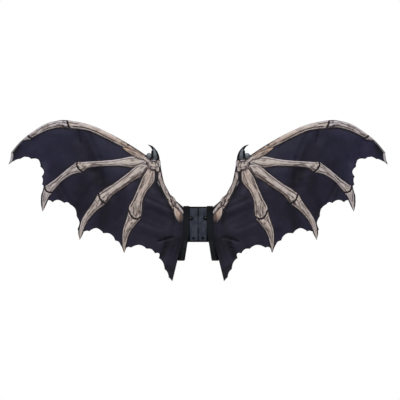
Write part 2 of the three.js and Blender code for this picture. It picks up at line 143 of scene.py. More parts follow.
# Printed bones from the wrist outwards: tint, pitted, fade at start and end; lines, surround left and right
End = namedtuple("End", "round skew")
FLAT = End(0, 0)
BONE_COLUMNS = "end tint pitted fade lines surround shade"
PLAIN = [FLAT, (0, 0), (0.2, 0.6), (0, 0), (0.8, 0.8), (1, 1), 0.3]
Bone = namedtuple("Bone", "path widths " + BONE_COLUMNS, defaults=PLAIN)
FINGERS = [
    [
        Bone([[150, 177], [195, 179.5], [256, 176.3], [314, 172.5], [339, 166.5]], [5, 30, 19, 15, 18, 30],
             End(7, 4), pitted=(0.2, 0.9), lines=(0.6, 0.7), surround=(0.6, 1), shade=0.4),
        Bone([[348, 162], [371, 151.5], [394, 135], [414, 117.5], [431, 102.5]], [32, 22, 17, 16, 20, 26],
             End(8, 2), tint=(-0.2, -0.2), lines=(1, 0.6), shade=0.25),
        Bone([[436, 98], [444.5, 68], [449.5, 37]], [28, 21, 16, 10, 5, 1], tint=(-0.3, -0.1),
             pitted=(0.3, 0.1), lines=(0.8, 0.3), surround=(0.4, 1), shade=0.1),
    ],
    [
        Bone([[147, 168], [174, 151], [225.5, 114], [254.5, 94], [274.5, 75.5]], [9, 30, 26, 24, 28, 35],
             End(6, -2), tint=(0.1, 0.1), pitted=(0.2, 1), lines=(0.9, 0.9), shade=0.65),
        Bone([[285, 68], [307, 40], [326.5, 12], [337, -17], [341.5, -45]], [34, 21, 17, 14, 9, 1],
             tint=(0.2, 0.1), pitted=(1, 0.1), lines=(0.4, 0.6), shade=0.4),
    ],
    [
        Bone([[135, 157], [143, 130.5], [160, 101], [172.5, 72], [180, 46], [182, 33.5]],
             [20, 34, 26, 26, 37, 36], End(14, -7), tint=(0.45, 0.2), pitted=(0.5, 1), lines=(1, 0.8),
             shade=0.2),
        Bone([[192, 26], [201.5, -4], [209, -30], [212.5, -57], [212.5, -82]], [38, 27, 20, 14, 8, 1],
             tint=(0.3, 0.3), pitted=(1, 0.6), fade=(0, 0.25), lines=(0.6, 0.7), shade=0.2),
    ],
]
ARM_BONES = [
    Bone([[81, 84], [73.5, 73], [66, 60], [58, 49]], [2, 9, 12, 12, 9, 4],
         tint=(-0.2, 0.5), pitted=(1, 1), surround=(1, 0), shade=0.5),
    Bone([[109.5, 151], [110, 136], [104, 118], [96.5, 101], [88, 84], [80.5, 63], [71.5, 46]],
         [7, 9.5, 10, 12, 7, 5], tint=(-0.2, 0.3), pitted=(0.6, 0.9), surround=(1.3, 0.4), shade=0.6),
    Bone([[68, 52], [61, 38], [54.7, 25], [49.5, 5.5]], [4, 12, 19, 22, 19, 9], End(2, 0), tint=(0.4, 1),
         pitted=(0.2, 0), fade=(0, 0.96), lines=(0.2, 0.2), surround=(1.2, 0.2), shade=0.75),
    Bone([[61, 59.5], [54.7, 49.6], [49, 41], [42, 32]], [3, 6.5, 7, 7, 7, 6], tint=(-0.3, -0.3)),
    Bone([[117, 125], [113, 116], [108, 106]], [1, 3, 4, 4, 3, 1], tint=(-0.6, -0.6), fade=(0.7, 1)),
]
THUMB_BONES = [
    Bone([[157, 189], [172, 196.5], [191, 206.5], [216, 220]], [8, 12, 13.5, 13, 9, 3],
         tint=(0.2, 1), surround=(1, 0.5)),
    Bone([[137.5, 178], [149, 187], [161, 195]], [5, 9, 10, 9, 7, 3], surround=(1, 0.5)),
]
TIP_BONE = Bone([[538.5, 207], [540, 189], [546.5, 174.5]], [4, 7, 7, 6, 4, 1],
                tint=(-0.6, -0.6), fade=(0.15, 0.3), surround=(0, 0), shade=0.6)
EdgeBone = namedtuple("EdgeBone", "first last widths " + BONE_COLUMNS, defaults=PLAIN)
EDGE_BONES = [
    EdgeBone(0.05, 3.87, [9, 13, 17, 17, 17, 21], End(2, 5.5), (0.9, 0), (0.7, 0.3), lines=(0.4, 1),
             surround=(0, 1), shade=0.15),
    EdgeBone(3.95, 7.02, [15.5, 17, 19.5, 18.5, 16, 12.5], End(2, 2), (-0.5, -0.3), (0.6, 0.4),
             lines=(0.5, 0.9), surround=(0, 1)),
    EdgeBone(7.1, 7.8, [10, 10, 9, 7, 4, 2], FLAT, (-0.3, -0.4), fade=(0.25, 0.7), surround=(0, 1)),
]
TIP_STRIP = EdgeBone(7.75, 9.0, [4, 4.5, 4.5, 4.5, 4.5, 4], FLAT, (-0.6, -0.6), fade=(0.7, 0.4),
                     surround=(0, 0))
WristBone = namedtuple("WristBone", "outboard height reach width angle tint")
WRIST_BONES = [WristBone(*row) for row in [
    (129, 169, 17, 27, 20, 0.1), (129.5, 176, 8, 9, 0, -0.1), (133.5, 167, 7, 10, 20, 0.0),
    (121, 170, 7, 9, 60, 0.1), (116, 176, 8, 7, 95, 0.1), (117, 160, 8, 11, 75, 0.3),
    (145, 162.5, 4.5, 7, 0, 0.1), (140.5, 173.5, 6, 9.5, 110, 0.0), (128, 184, 7.5, 5, 0, -0.6),
    (111, 174, 10, 4.4, 95, -0.6),
]]
WRIST_PROFILE = [0.3, 0.85, 1, 1, 0.85, 0.3]
WRIST_SURROUND = 0.35
WRIST_LEVEL = 45
FADE_SHARE = 0.45
END_SHARE = 0.4
END_LINE = {"points": 41, "before": 0.97}
SEAT_SHARE = 0.86
JOINT_LINE = 4.4
JOINT_STEPS = {"along": 5, "across": 17}
SURROUND = 3.4
EDGE_INSET = 0.3
BONE_CELL = 1.25
LEAST = {"half": 0.3, "rows": 8, "columns": 9}
LENGTH_ROWS = 30
WIDE_BONE = (3, 7)
PRINT_LIFT = 0.15
LAYER = 0.02
PRINT_RIM = 0.25
PRINT_DOME = {"height": 1.0, "border": 0.75, "ends": 4, "half": 7, "light": 1.15, "inked": 0.5}
SEED_STEP = 7.3

# Patterns of the bones' print: how dark they are, how long and wide their strokes, how many and how crisp
CONTOUR = {"inset": 4.4, "wander": 0.9, "wander_long": 23, "width": 1.5, "apart": 5.5}
CONTOUR_BREAK = {"long": 19, "shift": 2.2, "level": 0.95, "crisp": 1.1}
STREAK = {"dark": 0.55, "long": 15, "wide": 2.6, "level": 0.15, "crisp": 1.3}
PIT = {"dark": 0.85, "long": 6.5, "wide": 2.7, "level": -0.5, "crisp": 3.2, "least": 0.25, "reach": 22}

# Strokes drawn over the bones: their line, how wide they are and how dark
MARK_SOFT = {"least": 1.2, "share": 0.35}
Mark = namedtuple("Mark", "path width ink")
MARKS = [Mark(*row) for row in [
    ([[200, 131], [220, 117]], 9, 0.12), ([[240, 176.5], [266, 175]], 6, 0.15),
    ([[226, 239], [232.5, 243], [256, 257], [276, 267]], 9, 0.06),
    ([[236, 249.5], [214, 237.5]], 2.4, 0.45),
    ([[214, 237.5], [198.5, 229], [174.5, 213.5], [152, 198.5]], 2.6, 0.85),
    ([[198, 196], [180, 194.5], [166, 190], [151.5, 181.5], [144, 173]], 2, 0.65),
    ([[198, 157], [186, 170], [169, 174], [154, 179]], 2.4, 0.7),
    ([[150, 163], [163, 139.5], [172, 128]], 2.6, 0.85), ([[134, 176], [131.5, 176]], 3, 0.9),
    ([[136, 168], [134, 166.5]], 2.4, 0.75), ([[144, 177], [143.5, 164]], 2.4, 0.7),
    ([[148, 164], [143, 159.5], [131, 157.5], [124, 156]], 2.2, 0.7),
    ([[138, 181.5], [119, 180.5]], 2, 0.9), ([[124, 178.5], [121, 166], [124, 157]], 2.2, 0.75),
    ([[117, 176], [115, 170]], 2.4, 0.85), ([[111, 164], [111, 152]], 3, 0.95),
    ([[124, 157], [116.5, 140], [119, 130]], 4.5, 1), ([[129.5, 154], [134, 134]], 2.2, 0.75),
    ([[159, 200], [149, 190], [140, 182]], 1.6, 0.5), ([[86, 90], [80, 82], [74, 75]], 3.6, 0.9),
    ([[87.5, 73], [82, 66], [76, 61.5]], 2.4, 0.8), ([[78, 70], [75, 66]], 2.6, 0.85),
    ([[70, 63], [66, 56]], 3.2, 0.9), ([[69, 55], [66, 50]], 4, 0.8), ([[77, 53], [75, 50]], 2.6, 0.8),
    ([[64.5, 49.5], [44, 26.5]], 3.2, 0.85), ([[48, 25], [48, 4]], 11, 0.62),
    ([[209.5, 223.5], [199, 216.5], [186, 207.5]], 2.2, 0.6), ([[203, 229], [199, 226.5]], 3, 0.95),
    ([[190, 221], [178, 213], [160, 201.5]], 2, 0.65), ([[186, 49.5], [187.5, 32]], 3.4, 0.62),
    ([[172, 52.5], [172, 35]], 3.4, 0.62), ([[430, 111], [424, 113]], 4, 0.55),
    ([[296, 68], [289, 60]], 5, 0.5), ([[181, 60], [179, 50]], 4, 0.5), ([[202, 24], [191, 12]], 4, 0.5),
    ([[176, 208], [158, 196]], 4, 0.45), ([[366, 160], [352, 166]], 5, 0.45),
    ([[372, 148], [353, 152]], 4, 0.5), ([[392, 281], [374, 280]], 4, 0.85),
    ([[264, 84], [258, 78]], 2, 0.7), ([[259, 86], [254, 80]], 2, 0.7),
]]

# Frame wire from the plate along the arm and the leading edge
WIRE_PATH = [
    [31, -38], [31, 0], [36, 24], [50, 44], [71, 64], [90, 87], [103, 114], [112, 150], [119, 172],
    [136, 187], [157, 196], [201, 222], [259, 254], [317, 279], [377, 293], [411, 291], [443, 280],
    [484, 254], [512, 231], [531, 210],
]
CASING_START = 46
WIRE_STEPS = 240
STITCH = {"length": 3.6, "pitch": 5.6, "radius": 0.32, "offset": 4.6, "start": 4, "lift": 0.1}
STITCH_SIDES = 8

# Sections along a stitch: share of its length and of its radius
STITCH_SECTIONS = [(-0.06, 0.35), (0.15, 0.85), (0.395, 1), (0.605, 1), (0.85, 0.85), (1.06, 0.35)]

# Thumb claw from its foot to its tip, and the knob and rib beside it
Claw = namedtuple("Claw", "outboard height width depth")
CLAW = [Claw(*row) for row in [
    (123, 187.5, 25, 2.6), (123.5, 197, 22, 6.4), (125.5, 208, 16, 6.5), (129, 217, 9, 5),
    (136, 224.5, 5, 3.5), (145, 229, 1, 1.2),
]]
CLAW_ROWS = 48
CLAW_SIDES = 24
CLAW_LEAST = {"half": 0.3, "depth": 0.6}
KNOB = {"outboard": 141, "height": 197, "width": 16.8, "length": 16.8, "depth": 5, "rings": 14, "square": 1}
KNOB_DIMPLE = {"depth": 0.5, "share": 0.55, "spread": 0.12}
KNOB_INK = 0.7
RIB = {
    "outboard": 131.6, "height": 200.5, "width": 7.2, "length": 24, "depth": 7.8, "rings": 10, "square": 0.35,
}
RIB_STEEP = 6
MOUND = {"sides": 40, "middle": 0.05}

# Elastic arm loops
STRAP = {"width": 17.4, "thickness": 1.6, "outboard": 33.9, "bow": 20, "bottom": -104}
STRAP_LEAN = {"from": -20, "per_mm": 0.158}
STRAP_TURN = {"front": 2, "back": 4, "rise": 8}
STRAP_SPLAY = 4
STRAP_STEP = 1.6
STRAP_CORNER = {"top": 1.2, "loop": 11, "most": 0.48, "steps": 9}
STRAP_RIB = {"count": 14, "depth": 0.16}
STRAP_SELVEDGE = {"thin": 0.55, "power": 14}
FLANGE_FACE = 3.2
Strand = namedtuple("Strand", "height share")
STRAP_FRONT = [Strand(*row) for row in [
    (28, 0), (10, 0.2), (-10, 0.55), (-32, 0.9), (-52, 1), (-70, 0.9), (-86, 0.6), (-97, 0.25),
]]

# Screws: place, the turn of each slot in degrees, how far the painted shade ring around it reaches and how
# strong its painted glint is
Screw = namedtuple("Screw", "row outboard height slots ring worn")
SCREWS = [Screw("upper", 20, 18, [0, 90], 5.5, 1), Screw("lower", 13.5, -40, [40], 2.6, 0)]
# Where the painted glint sits on a head, from its middle, and how far it reaches
SCREW_GLINT = {"outboard": 1.5, "height": 1.2, "reach": 1.1}
# Steel grey of the wire, also the colour of the screws' painted glint
STEEL_AND_GLINT = (0.42, 0.42, 0.44)
SCREW = {"head": 3, "middle": 0.02, "face": 0.8, "crown": 0.5, "under": 2.7, "shank": 1.4, "end": 11.8}
SLOT = {"width": 0.9, "depth": 0.8, "edge": 0.12}
SCREW_SIDES = 72
SCREW_RINGS = 22

# Rounded edges of the plates, and the angle in degrees from which an edge is sharp
PLATE_ROUND = {"radius": 0.5, "segments": 3, "merge": 0.001, "flat": 1}
SHARP = 40

# Camera, light and floor, in metres
CAMERA_PLACE = (0.0052, -4.83, 0.0699)
LENS = 151.45
SENSOR = 36
WORLD_LIGHT = 0.16
FLOOR_HEIGHT = -0.9
FLOOR_RADIUS = 1.6
FLOOR_SIDES = 96
LAMP_AIM = (0, 0, 0.05)
Lamp = namedtuple("Lamp", "name place size watts")
LAMPS = [
    Lamp("top", (0, -1.2, 2.9), 1.0, 185), Lamp("front", (-0.8, -4.2, 0.6), 1.6, 24),
    Lamp("spark", (-1.1, -3.2, 1.7), 0.12, 9), Lamp("back", (0.6, 2.6, 1.6), 1.6, 60),
]


# Curves and fields
def smoothstep(x):
    """A smooth step from 0 at 0 to 1 at 1."""
    x = np.clip(x, 0, 1)
    return x * x * (3 - 2 * x)


def rise(x, low, high):
    """A smooth step from 0 at low to 1 at high."""
    return smoothstep((x - low) / (high - low))


def spline(points, t):
    """Points on a smooth curve through the given ones, at shares t from 0 to 1."""
    points = np.asarray(points, float)
    last = len(points) - 1
    at = np.clip(np.asarray(t, float), 0, 1) * last
    i = np.minimum(at.astype(int), last - 1)
    w = (at - i).reshape(at.shape + (1,) * (points.ndim - 1))
    before, here, there, after = (points[np.clip(i + k, 0, last)] for k in (-1, 0, 1, 2))
    leave = (there - before) / 2
    arrive = (after - here) / 2
    square = 3 * (there - here) - 2 * leave - arrive
    cube = 2 * (here - there) + leave + arrive
    return here + leave * w + square * w**2 + cube * w**3


def unit(rows):
    """Rows scaled to length 1."""
    return rows / np.maximum(np.linalg.norm(rows, axis=1, keepdims=True), TINY)


def directions(points):
    """Unit directions along rows of points."""
    return unit(np.gradient(points, axis=0))


def heading(points, t):
    """Unit directions of a smooth curve at shares t."""
    return unit(spline(points, t + NUDGE) - spline(points, t - NUDGE))


def left_of(runs):
    """Flat directions turned a quarter to the left."""
    return np.column_stack([-runs[:, 1], runs[:, 0]])


def bend(start, control, end, t):
    """Points at shares t on a curve that leans towards a control point."""
    return (1 - t) ** 2 * start + 2 * t * (1 - t) * control + t**2 * end


def circle(sides):
    """Angles of the points around a ring."""
    return np.linspace(0, 2 * math.pi, sides, endpoint=False)


LATTICE_SIZE = 64
LATTICE = np.random.default_rng(11).uniform(-1, 1, (LATTICE_SIZE, LATTICE_SIZE))


def mottle(x, y):
    """Smooth random values from -1 to 1, a new one at each whole number."""
    i, j = np.floor(x).astype(int), np.floor(y).astype(int)
    a, b = smoothstep(x - i), smoothstep(y - j)
    corners = [LATTICE[(i + di) % LATTICE_SIZE, (j + dj) % LATTICE_SIZE] for dj in (0, 1) for di in (0, 1)]
    low = corners[0] + (corners[1] - corners[0]) * a
    high = corners[2] + (corners[3] - corners[2]) * a
    return low + (high - low) * b


def distance_to_line(flat, start, end):
    """How far flat points lie from a straight line."""
    u, z = flat[..., 0] - start[0], flat[..., 1] - start[1]
    run_u, run_z = end[0] - start[0], end[1] - start[1]
    along = np.clip((u * run_u + z * run_z) / (run_u**2 + run_z**2), 0, 1)
    return np.hypot(u - along * run_u, z - along * run_z)


def on_cloth(flat, offset):
    """Flat wing points in space, an offset behind the cloth's front: swept back, with folds and ripples."""
    u, z = flat[..., 0], flat[..., 1]
    outward = np.maximum(0, u - ROOT_END)
    free = smoothstep(outward / ROOT_FADE)
    push = RIPPLE * mottle(u / RIPPLE_LENGTH, z / RIPPLE_LENGTH)
    for fold in FOLDS + CREASES:
        share = np.minimum(1, distance_to_line(flat, fold[:2], fold[2:4]) / fold.reach)
        push = push + fold.strength * (1 - share**2) ** 2
    depth = CLOTH_FRONT + SWEEP * (outward / (HALF_SPAN - ROOT_END)) ** 2 + free * push
    return np.stack([u, depth + offset, z], -1)


# Shapes: points, faces and named values at the points
Shape = namedtuple("Shape", "points faces values")


def tube(grid, values, loop=False):
    """A closed shape from rings of points: a loop, or a tube whose ends are closed by quads across them."""
    rows, columns = grid.shape[:2]
    index = np.arange(rows * columns).reshape(rows, columns)
    index = np.hstack([index, index[:, :1]])
    if loop:
        index = np.vstack([index, index[:1]])
    corners = [index[:-1, :-1], index[:-1, 1:], index[1:, 1:], index[1:, :-1]]
    faces = np.stack(corners, -1).reshape(-1, 4).tolist()
    for first in [] if loop else [0, (rows - 1) * columns]:
        for j in range(columns // 2 - 1):
            faces.append([first + j, first + j + 1, first + columns - 2 - j, first + columns - 1 - j])
    return Shape(grid.reshape(-1, 3), faces, values)


def joined(shapes):
    """Several shapes as one."""
    faces = []
    start = 0
    for shape in shapes:
        faces += [[start + i for i in face] for face in shape.faces]
        start += len(shape.points)
    names = shapes[0].values.keys()
    values = {name: np.concatenate([shape.values[name] for shape in shapes]) for name in names}
    return Shape(np.concatenate([shape.points for shape in shapes]), faces, values)


def placed(name, data):
    """A new object in the scene."""
    made = bpy.data.objects.new(name, data)
    bpy.context.collection.objects.link(made)
    return made


def make_piece(name, shape, material, mirror, replaces, sharp):
    """A piece of the object from a shape."""
    mesh = bpy.data.meshes.new(name)
    mesh.from_pydata((shape.points * [mirror * MM, MM, MM]).tolist(), [], shape.faces)
    for key, values in shape.values.items():
        kind, field = ("FLOAT_VECTOR", "vector") if values.ndim == 2 else ("FLOAT", "value")
        data = mesh.attributes.new(key, kind, "POINT").data
        data.foreach_set(field, values.ravel().astype(np.float32))
    work = bmesh.new()
    work.from_mesh(mesh)
    bmesh.ops.recalc_face_normals(work, faces=work.faces)
    return finish_piece(name, mesh, work, material, replaces, sharp)


def finish_piece(name, mesh, work, material, replaces, sharp):
    """Puts the edited faces back into a mesh and makes it a piece that rides on the only body."""
    bmesh.ops.triangulate(work, faces=[face for face in work.faces if len(face.verts) > 4])
    work.to_mesh(mesh)
    work.free()
    mesh.materials.clear()
    mesh.materials.append(material)
    mesh.shade_smooth()
    mesh.set_sharp_from_angle(angle=math.radians(sharp))
    piece = placed(name, mesh)
    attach(piece, "root")
    if replaces:
        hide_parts(replaces)
    return piece


# Cloth of one wing
def steps_along(points, step):
    """The corners of a line, with more points between them."""
    points = np.asarray(points, float)
    made = []
    for start, end in zip(points[:-1], points[1:]):
        count = max(1, round(np.linalg.norm(end - start) / step))
        made.append(start + (end - start) * (np.arange(count) / count)[:, None])
    return np.concatenate([*made, points[-1:]])


def curve_along(points, step):
    """Even steps along a smooth curve."""
    dense = spline(points, np.linspace(0, 1, CURVE_SAMPLES * len(points)))
    length = np.linalg.norm(np.diff(dense, axis=0), axis=1).sum()
    return spline(points, np.linspace(0, 1, round(length / step)))


def ragged_edge():
    """The lower edge: a curved bite before each tooth, with a finely frayed cut."""
    start = np.array(TIP_EDGE[-1], float)
    bites = []
    for tooth in TEETH:
        end = np.array(tooth[:2], float)
        run = (end - start) / np.linalg.norm(end - start)
        control = (start + end) / 2 + 2 * tooth.bite * np.array([run[1], -run[0]])
        count = max(2, round(np.linalg.norm(end - start) / EDGE_STEP))
        t = (np.arange(count) / count)[:, None]
        bites.append(bend(start, control, end, t))
        start = end
    edge = np.concatenate([*bites, [start]])
    along = np.arange(len(edge)) * EDGE_STEP / FRAY_STEP
    return edge + left_of(directions(edge)) * (FRAY * mottle(along, 0 * along + 0.5))[:, None]


def wing_outline():
    runs = [
        curve_along(ARM_EDGE, EDGE_STEP),
        steps_along([*WRIST_TAB, LEADING_EDGE[0]], EDGE_STEP),
        curve_along(LEADING_EDGE, EDGE_STEP)[1:],
        steps_along(TIP_EDGE, EDGE_STEP)[:-1],
        ragged_edge(),
        steps_along([*ROOT_EDGE, ARM_EDGE[0]], EDGE_STEP)[:-1],
    ]
    return np.concatenate(runs)


def edge_distance(points, outline):
    """How far points lie from a closed outline, and which of them are inside it."""
    ends = np.roll(outline, -1, axis=0)
    nearest = np.full(len(points), np.inf)
    inside = np.zeros(len(points), bool)
    for start, end in zip(outline, ends):
        nearest = np.minimum(nearest, distance_to_line(points, start, end))
        crosses = (start[1] > points[:, 1]) != (end[1] > points[:, 1])
        share = (points[:, 1] - start[1]) / (end[1] - start[1] if end[1] != start[1] else 1)
        inside ^= crosses & (points[:, 0] < start[0] + share * (end[0] - start[0]))
    return nearest, inside


def cloth_cells(outline):
    """Evenly spread points inside the outline."""
    low, high = outline.min(axis=0), outline.max(axis=0)
    row_step = CLOTH_CELL * math.sqrt(3) / 2
    rows = np.arange(low[1], high[1], row_step)
    columns = np.arange(low[0], high[0], CLOTH_CELL)
    u, z = np.meshgrid(columns, rows)
    u[1::2] += CLOTH_CELL / 2
    points = np.column_stack([u.ravel(), z.ravel()])
    nearest, inside = edge_distance(points, outline)
    return points[inside & (nearest > RIM_CLEARANCE * CLOTH_CELL)]


def cloth_shape(outline):
    """The cloth's two faces and its rim, with the distance to its edge and its shade: printed airbrush,
    painted shade and painted light.
    """
    flat = np.concatenate([outline, cloth_cells(outline)])
    rim = [list(range(len(outline)))]
    found = delaunay_2d_cdt([Vector(point) for point in flat], [], rim, 1, MERGE)
    flat = np.array([tuple(point) for point in found[0]])
    front = np.array(found[2])
    edges = np.concatenate([front[:, [0, 1]], front[:, [1, 2]], front[:, [2, 0]]])
    _, place, uses = np.unique(np.sort(edges, axis=1), axis=0, return_index=True, return_counts=True)
    border = edges[place[uses == 1]]
    count = len(flat)
    sides = np.column_stack([border, border[:, ::-1] + count])
    faces = front.tolist() + (front[:, ::-1] + count).tolist() + sides.tolist()
    points = np.concatenate([on_cloth(flat, 0), on_cloth(flat, CLOTH)])
    hem = edge_distance(flat, outline)[0]
    lit = np.ones(count)
    for stroke in SHADES:
        away = distance_to_line(flat, stroke[:2], stroke[2:4]) / stroke.reach
        lit *= 1 - stroke.strength * np.exp(-(away**2))
    shade = np.concatenate([1 - lit, np.full(count, BACK_SHADE)])
    return Shape(points, faces, {"hem": np.tile(hem, 2), "shade": shade})


# Casing, wire and stitches behind the cloth
def wire_route():
    return on_cloth(spline(WIRE_PATH, np.linspace(0, 1, WIRE_STEPS)), CASING_DEPTH)


def rings(route, radii, sides):
    """Round sections along a route, as rows of points."""
    runs = directions(route)
    across = unit(np.cross(runs, [0, 1, 0]))
    up = np.cross(across, runs)
    turn = circle(sides)
    spread = across[:, None] * np.cos(turn)[:, None] + up[:, None] * np.sin(turn)[:, None]
    return route[:, None] + spread * np.asarray(radii).reshape(len(route), -1, 1)


def wire_shape(route):
    return tube(rings(route, np.full(len(route), WIRE_RADIUS), TUBE_SIDES), {})


def casing_shape(route):
    """The sewn channel: a soft tube that is open towards the plate and shut past the wire's end."""
    route = route[route[:, 0] > CASING_START]
    last = route[-1] + directions(route)[-1] * CASING_END
    along = np.arange(len(route) + 1)[:, None]
    around = np.arange(TUBE_SIDES)[None, :]
    pucker = PUCKER["depth"] * mottle(along / PUCKER["along"], around / PUCKER["around"])
    outer = rings(np.vstack([route, last]), CASING_RADIUS + pucker, TUBE_SIDES)
    inner = rings(route[::-1], np.full(len(route), BORE_RADIUS), TUBE_SIDES)
    grid = np.concatenate([outer[::-1], inner[::-1]])
    count = len(grid) * TUBE_SIDES
    return tube(grid, {"hem": np.full(count, INSIDE_HEM), "shade": np.full(count, BACK_SHADE)})


def stitches_shape(route):
    """Short round threads in a row on each side of the casing."""
    flat = route[route[:, 0] > CASING_START + STITCH["start"]][:, [0, 2]]
    reach = np.concatenate([[0], np.cumsum(np.linalg.norm(np.diff(flat, axis=0), axis=1))])
    share, swell = np.array(STITCH_SECTIONS).T
    made = []
    for side in (-1, 1):
        row = flat + left_of(directions(flat)) * side * STITCH["offset"]
        for at in np.arange(0, reach[-1] - STITCH["pitch"], STITCH["pitch"]):
            ends = [[np.interp(at + d, reach, row[:, k]) for k in (0, 1)] for d in (0, STITCH["length"])]
            start, end = on_cloth(np.array(ends), CLOTH + STITCH["lift"])
            thread = start + (end - start) * share[:, None]
            made.append(tube(rings(thread, STITCH["radius"] * swell, STITCH_SIDES), {}))
    return joined(made)


# Printed bones
def finger_borders(bone):
    """A function that gives a bone's left and right border points and its direction at shares t."""
    def at(t):
        middle = spline(bone.path, t)
        run = heading(bone.path, t)
        half = left_of(run) * (spline(bone.widths, t) / 2)[:, None]
        return middle + half, middle - half, run
    return at


def edge_borders(bone):
    """The same for a bone along the leading edge."""
    def at(t):
        share = (bone.first + (bone.last - bone.first) * t) / (len(LEADING_EDGE) - 1)
        edge = spline(LEADING_EDGE, share)
        run = heading(LEADING_EDGE, share)
        outward = left_of(run)
        return edge - outward * EDGE_INSET, edge - outward * spline(bone.widths, t)[:, None], run
    return at


def wrist_bone(row):
    """A small round bone of the wrist, with its borders."""
    angle = math.radians(row.angle)
    reach = row.reach * np.array([math.cos(angle), math.sin(angle)])
    centre = np.array([row.outboard, row.height])
    path = [centre - reach, centre, centre + reach]
    widths = row.width * np.array(WRIST_PROFILE)
    around = (WRIST_SURROUND, WRIST_SURROUND)
    bone = Bone(path, widths, FLAT, (row.tint, row.tint), (1, 1), surround=around)
    return bone, finger_borders(bone)


def bone_flat(bone, borders, t, s, seat=None):
    """Flat points of a bone at shares t along it and s across it, from -1 to 1 between its borders.

    A seat is the line across which the bone before it ends: the bone starts along it.
    """
    left, right, run = borders(t)
    far = smoothstep(1 - (1 - t) / END_SHARE)[:, None]
    shift = far * (bone.end.round * (1 - s**2) + bone.end.skew * s)
    flat = ((left + right) / 2)[:, None] + ((left - right) / 2)[:, None] * s[..., None]
    flat = flat + run[:, None] * shift[..., None]
    if seat is not None:
        within = np.clip(s, -1, 1)
        near = smoothstep(1 - t / END_SHARE)[:, None, None]
        flat = flat + near * (seat(SEAT_SHARE * within) - bone_flat(bone, borders, 0 * t, within))
    return flat


def end_line(bone, borders, seat, gap):
    """A function that gives the line across a bone's far end, a gap beyond it."""
    def at(s):
        across = np.linspace(-1, 1, END_LINE["points"])
        rows = bone_flat(bone, borders, np.array([END_LINE["before"], 1.0]), across, seat)
        outward = left_of(directions(rows[1]))
        outward *= np.sign((outward * (rows[1] - rows[0])).sum())
        line = rows[1] + outward * gap
        return np.stack([np.interp(s, across, line[:, k]) for k in (0, 1)], -1)
    return at


def strokes(pattern, x, y):
    """Where the strokes of a pattern lie, from 0 to 1."""
    return smoothstep(pattern["level"] + pattern["crisp"] * mottle(x, y))


def bone_ink(bone, along, across, half, length, seed, rooted):
    """How dark the airbrushed print is: surround, drawn contours, streaks, and pits near the ends."""
    border = half - abs(across)
    ends = np.minimum(along, length - along)
    side = np.sign(across) * CONTOUR["apart"]
    surround = 1 - rise(np.minimum(border, ends), -0.8, 1.4)
    inset = CONTOUR["inset"] + CONTOUR["wander"] * mottle(along / CONTOUR["wander_long"] + seed, side)
    unbroken = strokes(CONTOUR_BREAK, along / CONTOUR_BREAK["long"] + seed, side + CONTOUR_BREAK["shift"])
    drawn = rise(half, *WIDE_BONE) * np.where(across > 0, *bone.lines) * unbroken
    if rooted:
        drawn = drawn * smoothstep(along / WRIST_LEVEL)
    contour = drawn * np.exp(-(((border - inset) / CONTOUR["width"]) ** 2))
    body = smoothstep((border - 0.6 * inset) / 3)
    grain = strokes(STREAK, along / STREAK["long"] + seed, across / STREAK["wide"] + seed)
    streaks = STREAK["dark"] * max(bone.lines) * body * grain
    near_end = PIT["least"] + (1 - PIT["least"]) * np.exp(-ends / PIT["reach"])
    pitted = np.interp(along / length, [0, 1], bone.pitted) * near_end
    holes = strokes(PIT, along / PIT["long"] + seed, across / PIT["wide"])
    pits = PIT["dark"] * pitted * rise(half, 1.5, 3.5) * rise(border, 0, 2) * holes
    shaded = bone.shade * np.clip(-across / half, 0, 1) ** 2
    light = (1 - surround) * (1 - contour) * (1 - streaks) * (1 - pits) * (1 - shaded)
    return 1 - light


def marked(ink, flat):
    """The same print with the strokes drawn over it."""
    for mark in MARKS:
        lines = zip(mark.path[:-1], mark.path[1:])
        away = np.min([distance_to_line(flat, *line) for line in lines], axis=0)
        soft = max(MARK_SOFT["least"], MARK_SOFT["share"] * mark.width)
        ink = ink + (mark.ink - ink) * smoothstep((mark.width / 2 - away) / soft + 0.5)
    return ink


def patch(flat, lift):
    """Rings around a thin layer on the cloth: over its top at a lift, and back along its underside."""
    return np.concatenate([on_cloth(flat, -lift), on_cloth(flat, -PRINT_LIFT)[:, ::-1]], axis=1)


